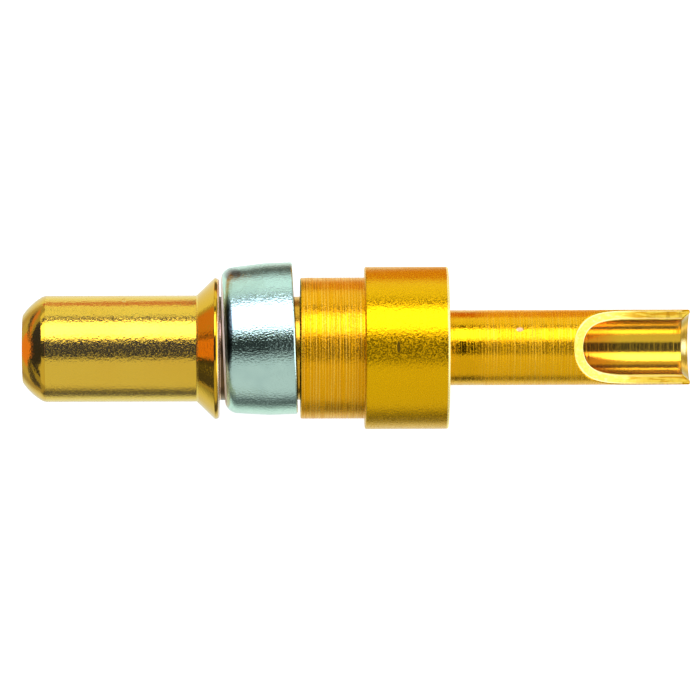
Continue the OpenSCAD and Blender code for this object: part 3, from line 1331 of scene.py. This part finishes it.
@dataclass(frozen=True)
class Studio:
    """The floor, the light tent and the camera.

    Lengths are in mm. The tent's edges are sines of the angle along, across or above the contact.
    """

    around: tuple[Strip, ...] = (
        Strip(-180.0, -23.0, (0.65, 0.65, 0.69)),
        Strip(-19.0, 20.0, (0.035, 0.038, 0.04)),
        Strip(22.5, 25.0, (2.0, 2.0, 2.0)),
        Strip(31.0, 57.0, (3.4, 3.3, 5.0)),
        Strip(59.5, 60.5, (1.7, 1.7, 1.7)),
        Strip(62.8, 72.5, (0.12, 0.12, 0.12)),
        Strip(75.0, 180.0, (0.92, 0.98, 1.03)),
    )
    nose_end: tuple[Strip, ...] = (
        Strip(0.0, 84.0, (0.03, 0.03, 0.03)),
        Strip(88.0, 180.0, (0.90, 0.33, 0.02)),
    )
    nose_floor: tuple[Strip, ...] = (
        Strip(-4.0, -2.25, (0.37, 0.36, 0.23)),
        Strip(-2.05, -1.15, (0.07, 0.07, 0.07)),
        Strip(-0.95, 0.95, (0.60, 0.57, 0.45)),
        Strip(1.05, 1.35, (0.12, 0.10, 0.08)),
        Strip(1.5, 2.1, (0.72, 0.30, 0.02)),
        Strip(2.3, 4.0, (0.44, 0.42, 0.24)),
    )
    cup_end: tuple[Strip, ...] = (
        Strip(0.0, 24.0, (1.0, 1.0, 1.1)),
        Strip(38.0, 180.0, (2.0, 2.0, 2.6)),
    )
    beside: tuple[Strip, ...] = (
        Strip(-50.0, -40.0, (0.62, 0.62, 0.66)),
        Strip(-14.0, -7.8, (0.11, 0.115, 0.12)),
        Strip(-5.0, -1.0, (0.80, 0.90, 0.86)),
        Strip(1.0, 3.9, (0.92, 1.0, 0.96)),
        Strip(5.3, 50.0, (0.62, 0.215, 0.010)),
    )
    white: Colour = (1.0, 1.0, 1.0)
    shadow_side: Colour = (0.03, 0.03, 0.03)
    far_side: Colour = (0.52, 0.46, 0.26)
    low_side: Colour = (0.42, 0.39, 0.27)
    cup_side: Colour = (0.42, 0.42, 0.42)
    by_clip: Colour = (0.15, 0.145, 0.14)

    nose_sides: Point = (0.13, 0.22)
    near_side: Point = (-0.35, -0.55)
    near_above: Point = (0.10, 0.25)
    cup_sides: Point = (0.45, 0.75)
    middle: Point = (-0.05, 0.05)
    nose_reach: Point = (-0.64, -0.78)
    cup_reach: Point = (0.10, 0.32)

    floor_grey: float = 0.5
    floor_rough: float = 0.9
    floor_glow: float = 0.8
    skew: float = 0.25
    skew_start: Point = (0.0, 2.0)
    tent_start: Point = (12.4, 14.0)
    clip_span: Point = (-5.6, -2.0)
    clip_span_soft: float = 0.5
    clip_dark: Point = (5.3, 13.2)
    clip_dark_soft: float = 0.8
    spread_width: float = 3.3
    spread_rate: float = 0.115
    warm_bend: float = 0.13
    warm_end: Point = (-19.5, -21.5)
    warm_half: Point = (1.05, 0.9)
    sides_meet: Point = (-0.5, 0.5)
    sides_start: Point = (-17.5, -15.5)
    cup_floor_half: Point = (1.5, 3.0)
    floor_ends: Point = (-13.0, 13.0)
    floor_blend: float = 2.0
    floor_z: float = -2.75
    floor_half: float = 600.0

    distance: float = 200.0
    camera_x: float = -3.88
    pixels_per_mm: float = 29.5
    axis_pixel: Point = (364.5, 348.0)
    roll: float = math.radians(-0.17)
    sensor: float = 36.0
    clip_metres: Point = (0.001, 10.0)

    @staticmethod
    def ramp(kit: NodeKit, place: Field, strips: tuple[Strip, ...]) -> Field:
        """Lays strips along a ramp.

        Args:
            kit: The tree's kit.
            place: The field of the place, in the strips' own unit.
            strips: The strips, in order, which reach from end to end of the ramp.

        Returns:
            The light's field.
        """
        low, high = strips[0].start, strips[-1].end
        stops = []
        for strip in strips:
            stops += [((at - low) / (high - low), strip.light) for at in (strip.start, strip.end)]
        return kit.add("ShaderNodeValToRGB", {"stops": stops}, {0: (place - low) / (high - low)})

    def light(self) -> None:
        """Makes the world: a tent of softboxes, plain white to the camera."""
        world = bpy.data.worlds.new("light_tent")
        bpy.context.scene.world = world
        world.use_nodes = True
        kit = NodeKit(world.node_tree)
        aim = kit.add("ShaderNodeTexCoord", output="Generated")
        ahead = kit.add("ShaderNodeSeparateXYZ", {}, {0: aim})
        side, above = ahead.of("Y"), ahead.of("Z")
        turn = side.math("ARCTAN2", above) * math.degrees(1.0)
        lean = abs(ahead).math("ARCTAN2", above) * math.degrees(1.0)
        tent = self.ramp(kit, turn, self.around)
        nose = self.ramp(kit, lean, self.nose_end)
        cup = self.ramp(kit, lean, self.cup_end)
        nose = kit.mix(abs(side).step(*self.nose_sides), nose, self.shadow_side)
        near = side.step(*self.near_side) * above.step(*self.near_above)
        nose = kit.mix(near, nose, self.around[0].light)
        cup = kit.mix(abs(side).step(*self.cup_sides), cup, self.cup_side)
        ends = kit.mix(ahead.step(*self.middle), nose, cup)
        reach = ahead.step(*self.nose_reach) + ahead.step(*self.cup_reach)
        light = kit.mix(reach, tent, ends)
        seen = kit.add("ShaderNodeLightPath", output="Is Camera Ray")
        light = kit.mix(seen, light, self.white)
        background = world.node_tree.nodes["Background"]
        world.node_tree.links.new(light.socket, background.inputs["Color"])

    def floor_strips(self, floor: Surface) -> Field:
        """Gives the light that the floor sends into reflections.

        Args:
            floor: The floor's material.

        Returns:
            The light's field.
        """
        kit, along, across = floor.kit, floor.along, floor.across
        slant = across + self.skew * along * across.step(*self.skew_start)
        strips = self.ramp(kit, slant, self.beside)
        strips = kit.mix(across.step(*self.tent_start), strips, self.around[-1].light)
        by_clip = along.between(*self.clip_span, self.clip_span_soft)
        by_clip = by_clip * across.between(*self.clip_dark, self.clip_dark_soft)
        strips = kit.mix(by_clip, strips, self.by_clip)
        spread = across / (self.spread_width - self.spread_rate * along)
        front = self.ramp(kit, spread, self.nose_floor)
        warm = (along + self.warm_bend * across**2.0).step(*self.warm_end)
        warm = warm * abs(spread).step(*self.warm_half)
        front = kit.mix(warm, front, self.nose_end[-1].light)
        sides = kit.mix(across.step(*self.sides_meet), self.low_side, self.far_side)
        front = kit.mix(along.step(*self.sides_start), front, sides)
        back = kit.mix(floor.aside.step(*self.cup_floor_half), self.cup_end[-1].light, self.cup_side)
        low, high = self.floor_ends
        strips = kit.mix(along.step(low, low - self.floor_blend), strips, front)
        return kit.mix(along.step(high, high + self.floor_blend), strips, back)

    def floor_finish(self) -> bpy.types.Material:
        """Makes the floor's material: plain white, and in reflections lit and shaded in strips.

        Returns:
            The material.
        """
        floor = Surface("white_floor")
        floor.set("Base Color", (*(self.floor_grey,) * 3, 1.0))
        floor.set("Roughness", self.floor_rough)
        floor.set("Emission Color", (*self.white, 1.0))
        floor.set("Emission Strength", self.floor_glow)
        kit = floor.kit
        mirrored = kit.add("ShaderNodeEmission", {}, {"Color": self.floor_strips(floor)})
        glossy = kit.add("ShaderNodeLightPath", output="Is Glossy Ray")
        sockets = {0: glossy, 1: Field(kit, floor.shader.outputs[0]), 2: mirrored}
        whole = kit.add("ShaderNodeMixShader", {}, sockets)
        floor.tree.links.new(whole.socket, floor.tree.nodes["Material Output"].inputs["Surface"])
        return floor.material

    def floor(self) -> None:
        """Lays the white floor that the flange rests on."""
        mesh = bpy.data.meshes.new("floor")
        half = self.floor_half * MM
        corners = [(-half, -half), (half, -half), (half, half), (-half, half)]
        mesh.from_pydata([(x, y, self.floor_z * MM) for x, y in corners], [], [(0, 1, 2, 3)])
        mesh.materials.append(self.floor_finish())
        floor = bpy.data.objects.new("floor", mesh)
        bpy.context.scene.collection.objects.link(floor)

    def camera(self) -> None:
        """Places the camera above the contact's neck, aimed at the middle of the photograph."""
        lens = bpy.data.cameras.new("camera")
        lens.sensor_width = self.sensor
        lens.lens = self.sensor * self.distance / (IMAGE_PIXELS / self.pixels_per_mm)
        lens.clip_start, lens.clip_end = self.clip_metres
        camera = bpy.data.objects.new("camera", lens)
        half = IMAGE_PIXELS / 2.0
        aim_x = (half - self.axis_pixel[0]) / self.pixels_per_mm
        aim_y = (self.axis_pixel[1] - half) / self.pixels_per_mm
        lean = math.atan2(self.camera_x - aim_x, self.distance)
        turn = Matrix.Rotation(lean, 4, "Y") @ Matrix.Rotation(self.roll, 4, "Z")
        place = Matrix.Translation((self.camera_x * MM, aim_y * MM, self.distance * MM))
        camera.matrix_world = place @ turn
        bpy.context.scene.collection.objects.link(camera)
        bpy.context.scene.camera = camera
        bpy.context.scene.view_settings.view_transform = "Standard"


def main() -> None:
    """Builds the stage and the two pieces, and reports each piece."""
    logging.basicConfig(level=logging.INFO, format="%(name)s: %(message)s")
    studio = Studio()
    studio.camera()
    studio.light()
    studio.floor()
    lathe = Lathe()
    contact = TurnedContact().build(lathe, GoldPlating(GoldFinish()).material)
    clip = RetainingClip().build(lathe, SpringSteel(SteelFinish()).material)
    for piece in (contact, clip):
        LOG.info("%s: %d faces", piece.name, len(piece.data.polygons))


if __name__ == "__main__":
    main()
